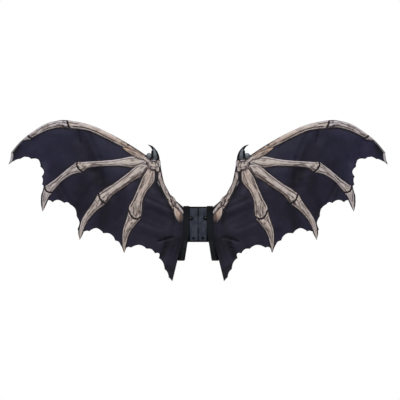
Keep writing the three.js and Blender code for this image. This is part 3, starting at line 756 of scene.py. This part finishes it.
def bone_shape(bone, borders, seat, number):
    """A thin domed patch on the cloth, with how dark its print is and where each point lies."""
    rough = bone_flat(bone, borders, np.linspace(0, 1, LENGTH_ROWS), np.array([-1.0, 0, 1]), seat)
    length = np.linalg.norm(np.diff(rough[:, 1], axis=0), axis=1).sum()
    width = np.linalg.norm(rough[:, 0] - rough[:, 2], axis=1).max()
    columns = max(LEAST["columns"], round((width + 2 * SURROUND) / BONE_CELL))
    t = np.linspace(0, 1, max(LEAST["rows"], round(length / BONE_CELL)))
    left, right, _ = borders(t)
    half = np.maximum(np.linalg.norm(left - right, axis=1)[:, None] / 2, LEAST["half"])
    share = np.sin(np.linspace(-1, 1, columns) * math.pi / 2)
    around = SURROUND * rise(half, 0, 5) * np.where(share > 0, *bone.surround)
    s = share * (1 + around / half)
    flat = bone_flat(bone, borders, t, s, seat)
    along = t[:, None] * length + 0 * s
    across = s * half
    border = half - abs(across)
    ends = np.minimum(along, length - along)
    seed = SEED_STEP * number
    ink = marked(bone_ink(bone, along, across, half, length, seed, seat is None), flat)
    dome = smoothstep(border / (PRINT_DOME["border"] * half))
    dome = dome * np.sqrt(np.clip(ends / PRINT_DOME["ends"], 0, 1))
    if seat is None:
        dome = dome * smoothstep(along / WRIST_LEVEL)
    highest = PRINT_DOME["height"] * np.minimum(1, half / PRINT_DOME["half"])
    height = highest * dome * (PRINT_DOME["light"] - PRINT_DOME["inked"] * ink)

    def on_ring(values):
        return np.concatenate([values, values[:, ::-1]], axis=1).ravel()

    rim = rise(border, 0, 0.8) * (1 - rise(border, 2.6, 3.8)) * rise(half, *WIDE_BONE)
    tint = np.interp(t, [0, 1], bone.tint)[:, None] - 0.5 * rim
    faded = smoothstep(1 - (1 - t) / FADE_SHARE)[:, None] + 0 * s
    fade = bone.fade[0] + (bone.fade[1] - bone.fade[0]) * faded
    place = np.stack([on_ring(along), on_ring(across), on_ring(seed + 0 * along)], -1)
    values = {"place": place, "ink": on_ring(ink), "tint": on_ring(tint), "fade": on_ring(fade)}
    return tube(patch(flat, PRINT_LIFT + LAYER * number + PRINT_RIM + height), values)


def joint_shape(near, far):
    """The dark line printed between the end of one bone and the start of the next."""
    s = np.linspace(-1, 1, JOINT_STEPS["across"])
    along = np.linspace(0, 1, JOINT_STEPS["along"])[:, None, None]
    flat = near(s) + (far(s) - near(s)) * along
    grid = patch(flat, PRINT_LIFT + PRINT_RIM)
    place = grid.reshape(-1, 3)
    none = np.zeros(len(place))
    return tube(grid, {"place": place, "ink": none + 1, "tint": none, "fade": none})


def print_shape():
    """All printed bones of one wing, with the joint lines between those of a finger."""
    chains = [[(bone, finger_borders(bone)) for bone in finger] for finger in FINGERS]
    chains.append([(bone, edge_borders(bone)) for bone in EDGE_BONES])
    chains.append([(TIP_STRIP, edge_borders(TIP_STRIP))])
    chains += [[(bone, finger_borders(bone))] for bone in [TIP_BONE, *THUMB_BONES, *ARM_BONES]]
    chains += [[wrist_bone(bone)] for bone in WRIST_BONES]
    made = []
    for chain in chains:
        seat = None
        for bone, borders in chain:
            made.append(bone_shape(bone, borders, seat, len(made)))
            end, seat = (end_line(bone, borders, seat, gap) for gap in (0, JOINT_LINE))
            if bone is not chain[-1][0]:
                made.append(joint_shape(end, seat))
    return joined(made)


# Thumb claw
def raised(flat, lift):
    """Flat points on the cloth, and the same points raised off it by their lifts."""
    seat = on_cloth(flat, -GAP)
    return seat, seat - np.stack([0 * lift, lift, 0 * lift], -1)


def claw_shape():
    """The claw's half-round horn, with its flat side on the cloth, and the knob and rib beside it."""
    t = np.linspace(0, 1, CLAW_ROWS)
    spine = spline([row[:2] for row in CLAW], t)
    across = -left_of(directions(spine))
    half = np.maximum(spline([row.width for row in CLAW], t) / 2, CLAW_LEAST["half"])
    depth = np.maximum(spline([row.depth for row in CLAW], t), CLAW_LEAST["depth"])
    turn = np.linspace(0, math.pi, CLAW_SIDES)
    flat = spine[:, None] + across[:, None] * (half[:, None] * np.cos(turn))[..., None]
    seat, top = raised(flat, depth[:, None] * np.sin(turn))
    under = seat[:, ::-1][:, 1:-1]
    side = np.concatenate([np.cos(turn), np.zeros(under.shape[1])])
    ink = np.maximum(rise(-side[None], 0.3, 0.55), rise(t[:, None], 0.5, 0.65))
    horn = tube(np.concatenate([top, under], axis=1), {"ink": ink.ravel()})
    return joined([horn, knob_shape(), rib_shape()])


def mound_shape(flat, lift, ink):
    """A closed mound: rings of flat points from its rim inwards, each with its height over the cloth."""
    seat, top = raised(flat, lift)
    ink = np.concatenate([ink[:0:-1], ink])
    return tube(np.concatenate([seat[:0:-1], top]), {"ink": ink.ravel()})


def mound_rings(row):
    """Shares from the rim inwards, and rings of flat points at them, round or squared off."""
    turn = circle(MOUND["sides"])
    share = np.linspace(1, MOUND["middle"], row["rings"])[:, None]
    across, up = (np.sign(wave) * abs(wave) ** row["square"] for wave in (np.cos(turn), np.sin(turn)))
    u = row["outboard"] + row["width"] / 2 * share * across
    z = row["height"] + row["length"] / 2 * share * up
    return share + 0 * turn, np.stack([u, z], -1)


def knob_shape():
    share, flat = mound_rings(KNOB)
    off = (share - KNOB_DIMPLE["share"]) / KNOB_DIMPLE["spread"]
    lift = KNOB["depth"] * np.sqrt(1 - share**2) - KNOB_DIMPLE["depth"] * np.exp(-(off**2))
    return mound_shape(flat, lift, KNOB_INK * rise(share, 0.86, 0.96))


def rib_shape():
    share, flat = mound_rings(RIB)
    lift = RIB["depth"] * np.sqrt(np.clip((1 - share) * RIB_STEEP, 0, 1))
    # The rib is coloured dark all over: painted shade of the gap between the knob and the horn
    return mound_shape(flat, lift, np.ones(lift.shape))


# Elastic arm loop
def strap_line():
    """Side view of the band as rows of depth and height, with its corners rounded."""
    half = STRAP["thickness"] / 2
    top = PLATE_TOP + GAP + half
    front = FLANGE_FACE - GAP - half
    back = CLAMP_BACK + GAP + half
    corners = [[front, top]]
    corners += [[front - row.share * STRAP["bow"], row.height] for row in STRAP_FRONT]
    corners += [
        [front + STRAP_TURN["front"], STRAP["bottom"]],
        [back - STRAP_TURN["back"], STRAP["bottom"]],
        [back, STRAP["bottom"] + STRAP_TURN["rise"]],
        [back, STRAP_LEAN["from"]],
        [back, top],
    ]
    corners = np.array(corners, float)
    line = []
    for i, corner in enumerate(corners):
        arrive = corners[i - 1] - corner
        leave = corners[(i + 1) % len(corners)] - corner
        room = STRAP_CORNER["most"] * min(np.linalg.norm(arrive), np.linalg.norm(leave))
        cut = min(STRAP_CORNER["top" if corner[1] == top else "loop"], room)
        first = corner + arrive * cut / np.linalg.norm(arrive)
        last = corner + leave * cut / np.linalg.norm(leave)
        t = np.linspace(0, 1, STRAP_CORNER["steps"])[:, None]
        line.append(bend(first, corner, last, t))
    line = np.concatenate(line)
    return steps_along(np.vstack([line, line[:1]]), STRAP_STEP)[:-1]


def strap_shape():
    """The ribbed band around its side view, leaning outwards where it hangs."""
    line = strap_line()
    outward = -left_of(unit(np.roll(line, -1, axis=0) - np.roll(line, 1, axis=0)))
    side = np.linspace(-1, 1, 4 * STRAP_RIB["count"] + 1)
    ribs = STRAP_RIB["depth"] * np.cos(side * math.pi * STRAP_RIB["count"])
    edge = abs(side) ** STRAP_SELVEDGE["power"]
    thickness = STRAP["thickness"] / 2 * (1 - STRAP_SELVEDGE["thin"] * edge) + ribs * (1 - edge)
    across = np.concatenate([side, side[::-1]])
    out = np.concatenate([thickness, -thickness[::-1]])
    hang = np.maximum(0, STRAP_LEAN["from"] - line[:, 1])
    behind = smoothstep(line[:, 0] / CLAMP_BACK)
    lean = hang * (STRAP_LEAN["per_mm"] + STRAP_SPLAY * behind / (STRAP_LEAN["from"] - STRAP["bottom"]))
    x = STRAP["outboard"] + lean[:, None] + across[None] * STRAP["width"] / 2
    depth = line[:, :1] + outward[:, :1] * out
    height = line[:, 1:] + outward[:, 1:] * out
    points = np.stack([x, depth, height], -1)
    reach = np.arange(len(line))[:, None] * STRAP_STEP + 0 * across
    weave = np.stack([reach, 0 * reach + across * STRAP["width"] / 2, 0 * reach], -1)
    return tube(points, {"weave": weave.reshape(-1, 3)}, loop=True)


# Plates and screws
def rounded_copy(node, name, material):
    """A copy of a CAD piece with its sharp edges rounded off and marked where they are worn."""
    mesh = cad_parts[node].data.copy()
    mesh.name = name
    work = bmesh.new()
    work.from_mesh(mesh)
    bmesh.ops.remove_doubles(work, verts=work.verts, dist=PLATE_ROUND["merge"] * MM)
    flat = math.radians(PLATE_ROUND["flat"])
    bmesh.ops.dissolve_limit(work, angle_limit=flat, verts=work.verts, edges=work.edges)
    sharp = [edge for edge in work.edges if edge.calc_face_angle(0) > math.radians(SHARP)]
    wear_and_glint = work.verts.layers.float.new("wear_and_glint")
    made = bmesh.ops.bevel(
        work, geom=sharp, offset=PLATE_ROUND["radius"] * MM, segments=PLATE_ROUND["segments"], profile=0.5,
        affect="EDGES", clamp_overlap=True,
    )
    for face in made["faces"]:
        for vertex in face.verts:
            vertex[wear_and_glint] = 1
    finish_piece(name, mesh, work, material, node, SHARP)


def screw_shape(screw, side):
    """A domed head with its slots sunk into it, on a plain shank."""
    turn = circle(SCREW_SIDES)
    radius = SCREW["head"] * np.linspace(SCREW["middle"], 1, SCREW_RINGS)[:, None]
    x, z = radius * np.cos(turn), radius * np.sin(turn)
    dip = 0 * x
    for slot in screw.slots:
        angle = math.radians(-slot * side)
        off = abs(z * math.cos(angle) - x * math.sin(angle))
        dip = np.maximum(dip, smoothstep((SLOT["width"] / 2 + SLOT["edge"] - off) / (2 * SLOT["edge"])))
    crown = SCREW["crown"] * (radius / SCREW["head"]) ** 4
    top = np.stack([x, SCREW["face"] + crown + SLOT["depth"] * dip, z], -1)
    ring = np.stack([np.cos(turn), 0 * turn, np.sin(turn)], -1)
    lower = [("head", "under"), ("shank", "under"), ("shank", "end")]
    rest = [ring * SCREW[radius] + [0, SCREW[depth], 0] for radius, depth in lower]
    points = np.concatenate([top, np.array(rest)]) + [side * screw.outboard, 0, screw.height]
    # A painted glint on the head beside its slots, where it would catch the lamp
    across, up = x * side - SCREW_GLINT["outboard"], z - SCREW_GLINT["height"]
    painted_glint = screw.worn * (1 - dip) * np.exp(-(across**2 + up**2) / SCREW_GLINT["reach"] ** 2)
    wear_and_glint = np.concatenate([painted_glint, np.zeros((len(rest), SCREW_SIDES))])
    return tube(points, {"wear_and_glint": wear_and_glint.ravel()})


# Materials
class Graph:
    """A material's nodes: each call makes one and gives back its output socket."""

    def __init__(self, name, **sockets):
        self.material = bpy.data.materials.new(name)
        self.material.use_nodes = True
        self.tree = self.material.node_tree
        self.shader = self.tree.nodes["Principled BSDF"]
        self.finish(**sockets)

    def feed(self, socket, value):
        if isinstance(value, bpy.types.NodeSocket):
            self.tree.links.new(value, socket)
        elif socket.type == "RGBA":
            socket.default_value = (*value, 1)
        else:
            socket.default_value = value

    def node(self, kind, inputs, output=0, **settings):
        node = self.tree.nodes.new("ShaderNode" + kind)
        for key, value in settings.items():
            setattr(node, key, value)
        for key, value in inputs.items():
            self.feed(node.inputs[key], value)
        return node.outputs[output]

    def place(self):
        return self.node("TexCoord", {}, "Object")

    def attribute(self, name, output="Fac"):
        return self.node("Attribute", {}, output, attribute_name=name)

    def axis(self, vector, name):
        return self.node("SeparateXYZ", {"Vector": vector}, name)

    def stretch(self, vector, factors):
        return self.node("VectorMath", {0: vector, 1: factors}, operation="MULTIPLY")

    def noise(self, vector, scale, detail=2.0):
        return self.node("TexNoise", {"Vector": vector, "Scale": scale, "Detail": detail})

    def wave(self, vector, period, direction, wobble):
        scale = 2 * math.pi / 20 / period
        inputs = {"Vector": vector, "Scale": scale, "Distortion": wobble}
        return self.node("TexWave", inputs, "Fac", bands_direction=direction)

    def math(self, operation, a, b=0.0):
        return self.node("Math", {0: a, 1: b}, operation=operation)

    def ramp(self, value, low, high, to_low=0.0, to_high=1.0):
        inputs = {"Value": value, "From Min": low, "From Max": high, "To Min": to_low, "To Max": to_high}
        return self.node("MapRange", inputs, interpolation_type="SMOOTHSTEP")

    def mix(self, factor, a, b):
        return self.node("Mix", {0: factor, 6: a, 7: b}, 2, data_type="RGBA")

    def layers(self, colour, rows):
        """Paints over a colour, each where its value goes from low to high, and at most how much."""
        for value, low, high, most, paint in rows:
            colour = self.mix(self.ramp(value, low, high, 0, most), colour, paint)
        return colour

    def bump(self, height, distance, strength):
        return self.node("Bump", {"Height": height, "Distance": distance, "Strength": strength})

    def finish(self, **links):
        for key, value in links.items():
            self.feed(self.shader.inputs[key.replace("_", " ")], value)
        return self.material


def cloth_material():
    """Thin woven polyester, blue-black with a faint purple drift, greyer towards the root and the tail."""
    g = Graph("wing_cloth", Specular_IOR_Level=0.12, Sheen_Weight=0.06, Sheen_Roughness=0.4)
    place = g.place()
    weave = g.math("MULTIPLY", g.wave(place, 0.0007, "X", 0.6), g.wave(place, 0.0007, "Z", 0.6))
    drift = g.noise(place, 7.0, 3.0)
    blotch = g.noise(place, 24.0, 4.0)
    across = g.math("ABSOLUTE", g.axis(place, "X"))
    height = g.axis(place, "Z")
    colour = g.layers((0.0106, 0.01, 0.0215), [
        (drift, 0.35, 0.65, 1, (0.014, 0.0122, 0.0277)),
        (across, 0.3, 0.45, 0.7, (0.0123, 0.011, 0.0295)),
        (across, 0.26, 0.1, 0.65, (0.0108, 0.0096, 0.0158)),
        (height, -0.11, -0.155, 0.75, (0.0098, 0.0098, 0.0105)),
        (blotch, 0.5, 0.72, 0.5, (0.0045, 0.004, 0.0085)),
        (blotch, 0.5, 0.3, 0.35, (0.0185, 0.018, 0.0335)),
        (weave, 0, 1, 0.25, (0.028, 0.026, 0.042)),
    ])
    shade = g.attribute("shade")
    # The strokes' painted shade and painted light, partly printed airbrush, laid into the cloth's colour
    colour = g.layers(g.mix(shade, colour, (0.0035, 0.0032, 0.006)), [
        (shade, 0, -1, 1, (0.05, 0.047, 0.07)),
        (g.attribute("hem"), 3.0, 0.6, 0.6, (0.004, 0.004, 0.006)),
    ])
    rough = g.ramp(g.noise(place, 60.0), 0.3, 0.7, 0.62, 0.78)
    return g.finish(Base_Color=colour, Roughness=rough, Normal=g.bump(weave, 0.00012, 0.6))


def bone_material():
    """Airbrushed bone on cloth: warm taupe, streaked along the bone, with dark drawn outlines."""
    g = Graph("bone_print", Specular_IOR_Level=0.15)
    place = g.attribute("place", "Vector")
    tint = g.attribute("tint")
    streak = g.noise(g.stretch(place, (0.08, 0.8, 1)), 1.0, 4.0)
    fleck = g.noise(place, 0.5, 3.0)
    ink = g.math("ADD", g.attribute("ink"), g.ramp(streak, 0.35, 0.7, -0.1, 0.24))
    ink = g.math("ADD", ink, g.ramp(fleck, 0.3, 0.7, -0.06, 0.08))
    light = g.layers((0.38, 0.334, 0.309), [
        (tint, 0, 1, 1, (0.32, 0.225, 0.175)),
        (tint, 0, -0.6, 1, (0.37, 0.347, 0.385)),
    ])
    shaded = g.layers((0.15, 0.118, 0.106), [(tint, 0.45, 1, 1, (0.19, 0.118, 0.08))])
    colour = g.layers(light, [
        (ink, 0.05, 0.6, 1, shaded),
        (ink, 0.5, 0.9, 1, (0.042, 0.03, 0.033)),
        (ink, 0.88, 1, 1, (0.0055, 0.0045, 0.0055)),
    ])
    colour = g.mix(g.attribute("fade"), colour, (0.016, 0.0135, 0.018))
    relief = g.math("SUBTRACT", g.math("MULTIPLY", streak, 0.5), ink)
    rough = g.ramp(fleck, 0.3, 0.7, 0.68, 0.85)
    return g.finish(Base_Color=colour, Roughness=rough, Normal=g.bump(relief, 0.0003, 0.5))


def claw_material():
    """Moulded plastic horn, slate grey with a dark painted edge and tip."""
    g = Graph("claw_horn")
    place = g.place()
    drift = g.noise(place, 120.0, 4.0)
    grain = g.noise(g.stretch(place, (900, 900, 160)), 1.0, 3.0)
    colour = g.layers((0.066, 0.077, 0.092), [
        (drift, 0.35, 0.65, 1, (0.09, 0.1, 0.113)),
        (grain, 0.55, 0.8, 0.4, (0.05, 0.057, 0.067)),
    ])
    ink = g.attribute("ink")
    colour = g.mix(ink, colour, (0.0025, 0.003, 0.004))
    rough = g.ramp(drift, 0.3, 0.7, 0.42, 0.55)
    gloss = g.ramp(ink, 0, 1, 0.3, 0.1)
    bump = g.bump(grain, 0.0003, 0.5)
    return g.finish(Base_Color=colour, Roughness=rough, Specular_IOR_Level=gloss, Normal=bump)


def strap_material():
    """Black knitted elastic, with painted light on the lower part of the loop, short of its outer edge."""
    g = Graph("strap_elastic", Specular_IOR_Level=0.07)
    weave = g.attribute("weave", "Vector")
    knit = g.wave(weave, 1.5, "X", 0.8)
    thread = g.noise(g.stretch(weave, (0.8, 4.0, 1)), 1.0, 3.0)
    colour = g.layers((0.003, 0.0036, 0.0046), [
        (knit, 0.3, 0.8, 1, (0.0065, 0.0075, 0.0095)),
        (thread, 0.55, 0.75, 0.5, (0.014, 0.0155, 0.018)),
    ])
    height = g.axis(g.place(), "Z")
    across = g.axis(weave, "Y")
    # Painted light on the lower part of the loop, where it hangs below the plate
    painted_light = g.math("MULTIPLY", g.ramp(height, -0.04, -0.06), g.ramp(across, 4.5, 2.5))
    colour = g.mix(g.math("MULTIPLY", painted_light, 0.6), colour, (0.0165, 0.0175, 0.021))
    rough = g.ramp(thread, 0.3, 0.7, 0.75, 0.92)
    return g.finish(Base_Color=colour, Roughness=rough, Normal=g.bump(knit, 0.0003, 0.7))


def moulded_plastic(g, place, face):
    """Moulded plastic with cloudy patches and upright streaks: its colour, its clouds and its finish."""
    cloud = g.noise(place, 55.0, 4.0)
    streak = g.noise(g.stretch(place, (380, 380, 30)), 1.0, 2.0)
    darker, paler = (tuple(share * part for part in face) for share in (0.7, 1.8))
    colour = g.layers(face, [(cloud, 0.35, 0.65, 0.6, darker), (streak, 0.5, 0.75, 0.45, paler)])
    spark = g.bump(g.noise(place, 1500.0, 2.0), 0.00012, 0.4)
    return colour, cloud, {"Roughness": g.ramp(cloud, 0.3, 0.7, 0.5, 0.68), "Normal": spark}


def plate_material():
    """Slate panel, darker where it is sunk back: painted shade in its recesses and a darker flange; painted
    shade around the screws, along its groove and at its side edges.
    """
    g = Graph("plate_plastic")
    place = g.place()
    colour, cloud, finish = moulded_plastic(g, place, (0.0128, 0.0158, 0.0265))
    # Painted shade in the recesses, and the flange's darker colour, where the face is sunk back
    sunk = g.ramp(g.axis(place, "Y"), 0.0002, 0.0007)
    dark = sunk
    for screw in SCREWS:
        for _, mirror in SIDES:
            centre = (mirror * screw.outboard * MM, 0, screw.height * MM)
            away = g.node("VectorMath", {0: place, 1: centre}, "Value", operation="DISTANCE")
            # Painted shade in a ring around each screw
            ring = g.ramp(away, screw.ring * MM, (screw.ring + 3) * MM, 1, 0)
            dark = g.math("MAXIMUM", dark, ring)
    across = g.math("ABSOLUTE", g.axis(place, "X"))
    height = g.axis(place, "Z")
    # Painted shade along the groove, weaker in its middle
    middle = g.math("MULTIPLY", g.ramp(height, -0.015, -0.008), g.ramp(height, 0.028, 0.022))
    groove = g.math("MULTIPLY", g.ramp(across, 0.001, 0.0033, 1, 0), g.ramp(middle, 0, 1, 0.95, 0.45))
    dark = g.math("MAXIMUM", dark, groove)
    # Painted shade at the panel's side edges beside the straps
    dark = g.math("MAXIMUM", dark, g.ramp(across, 0.0238, 0.0246))
    colour = g.mix(dark, colour, (0.002, 0.0024, 0.0035))
    worn = g.math("MULTIPLY", g.attribute("wear_and_glint"), g.ramp(cloud, 0.4, 0.65, 0, 0.25))
    worn = g.math("MULTIPLY", worn, g.ramp(sunk, 0, 1, 1, 0))
    colour = g.mix(worn, colour, (0.07, 0.08, 0.1))
    return g.finish(Base_Color=colour, Specular_IOR_Level=g.ramp(dark, 0, 1, 0.2, 0.04), **finish)


def clamp_material():
    """Plain black plastic, paler along its worn edges."""
    g = Graph("clamp_plastic", Specular_IOR_Level=0.2)
    colour, _, finish = moulded_plastic(g, g.place(), (0.0105, 0.0115, 0.0145))
    colour = g.mix(g.math("MULTIPLY", g.attribute("wear_and_glint"), 0.4), colour, (0.045, 0.047, 0.052))
    return g.finish(Base_Color=colour, **finish)


def metal_material(name, colour, worn, roughness, **sockets):
    """Drawn or painted metal with faint marks, and a painted glint of steel colour where the piece marks one.
    """
    g = Graph(name, **sockets)
    place = g.place()
    drift = g.noise(place, 400.0, 3.0)
    line = g.noise(g.stretch(place, (150, 150, 2400)), 1.0, 2.0)
    shade = g.mix(g.ramp(drift, 0.35, 0.65), colour, worn)
    # Painted glint of steel colour where the piece marks one
    shade = g.mix(g.attribute("wear_and_glint"), shade, STEEL_AND_GLINT)
    rough = g.ramp(line, 0.3, 0.7, roughness - 0.08, roughness + 0.1)
    return g.finish(Base_Color=shade, Roughness=rough, Normal=g.bump(line, 0.00006, 0.4))


def thread_material():
    """Dull sewing thread, a little paler than the cloth."""
    g = Graph("sewing_thread", Specular_IOR_Level=0.2)
    twist = g.wave(g.place(), 0.0006, "DIAGONAL", 0.4)
    colour = g.mix(g.ramp(twist, 0.2, 0.8), (0.012, 0.012, 0.016), (0.035, 0.034, 0.042))
    return g.finish(Base_Color=colour, Roughness=g.ramp(twist, 0, 1, 0.6, 0.8))


def floor_material():
    """Pale studio floor."""
    g = Graph("pale_floor", Specular_IOR_Level=0.1)
    drift = g.noise(g.place(), 1.5, 2.0)
    colour = g.mix(g.ramp(drift, 0.3, 0.7), (0.86, 0.86, 0.87), (0.9, 0.9, 0.9))
    return g.finish(Base_Color=colour, Roughness=g.ramp(drift, 0.3, 0.7, 0.75, 0.85))


# Camera, light and floor
def add_camera():
    camera = placed("camera", bpy.data.cameras.new("camera"))
    camera.data.lens = LENS
    camera.data.sensor_width = SENSOR
    camera.location = CAMERA_PLACE
    camera.rotation_euler = (math.pi / 2, 0, 0)
    bpy.context.scene.camera = camera


def add_lamp(row):
    lamp = placed(row.name, bpy.data.lights.new(row.name, "AREA"))
    lamp.data.size = row.size
    lamp.data.energy = row.watts
    lamp.location = row.place
    lamp.rotation_euler = (Vector(LAMP_AIM) - Vector(row.place)).to_track_quat("-Z", "Y").to_euler()


def add_world():
    """A white studio: bright behind the object, softer as light."""
    world = bpy.data.worlds.new("studio")
    bpy.context.scene.world = world
    world.use_nodes = True
    tree = world.node_tree
    shade = tree.nodes["Background"]
    shade.inputs["Color"].default_value = (1, 1, 1, 1)
    seen = tree.nodes.new("ShaderNodeLightPath")
    strength = tree.nodes.new("ShaderNodeMapRange")
    strength.inputs["To Min"].default_value = WORLD_LIGHT
    strength.inputs["To Max"].default_value = 1.0
    tree.links.new(seen.outputs["Is Camera Ray"], strength.inputs["Value"])
    tree.links.new(strength.outputs[0], shade.inputs["Strength"])


def add_floor():
    mesh = bpy.data.meshes.new("floor")
    work = bmesh.new()
    bmesh.ops.create_circle(work, cap_ends=True, segments=FLOOR_SIDES, radius=FLOOR_RADIUS)
    work.to_mesh(mesh)
    work.free()
    mesh.materials.append(floor_material())
    floor = placed("floor", mesh)
    floor.location.z = FLOOR_HEIGHT


# Assembly
add_camera()
add_world()
for lamp in LAMPS:
    add_lamp(lamp)
add_floor()
bpy.context.scene.view_settings.view_transform = "Standard"

cloth = cloth_material()
steel = metal_material("frame_wire_steel", STEEL_AND_GLINT, (0.3, 0.29, 0.29), 0.34, Metallic=1)
route = wire_route()

# Pieces of one wing: name, shape, material, slot, the node it replaces and from what angle an edge is sharp
wing_pieces = [
    ("wing_cloth", cloth_shape(wing_outline()), cloth, "cloth", "membrane", SHARP),
    ("printed_bones", print_shape(), bone_material(), "bone_print", "bone_print", 60),
    ("wire_casing", casing_shape(route), cloth, "cloth", None, SHARP),
    ("casing_stitches", stitches_shape(route), thread_material(), "cloth", None, SHARP),
    ("bent_wire", wire_shape(route), steel, "wire", "frame_wire", SHARP),
    ("claw_horn", claw_shape(), claw_material(), "claw", "thumb_claw", SHARP),
    ("arm_elastic", strap_shape(), strap_material(), "strap", "strap", 80),
]
for side, mirror in SIDES:
    wing, bones, casing, stitches, wire, *_ = [
        make_piece(f"{side}_{name}", shape, material, mirror, node and f"{side}_{node}", sharp)
        for name, shape, material, slot, node, sharp in wing_pieces
    ]

rounded_copy("back_plate", "panel_plate", plate_material())
rounded_copy("clamp_plate", "clamping_plate", clamp_material())
screw_steel = metal_material(
    "screw_black_steel", (0.0015, 0.0015, 0.002), (0.004, 0.004, 0.005), 0.18, Specular_IOR_Level=0.12,
)
for screw in SCREWS:
    for side, mirror in SIDES:
        name = f"{screw.row}_{side}_screw"
        make_piece(f"{name}_head", screw_shape(screw, mirror), screw_steel, 1, name, 50)
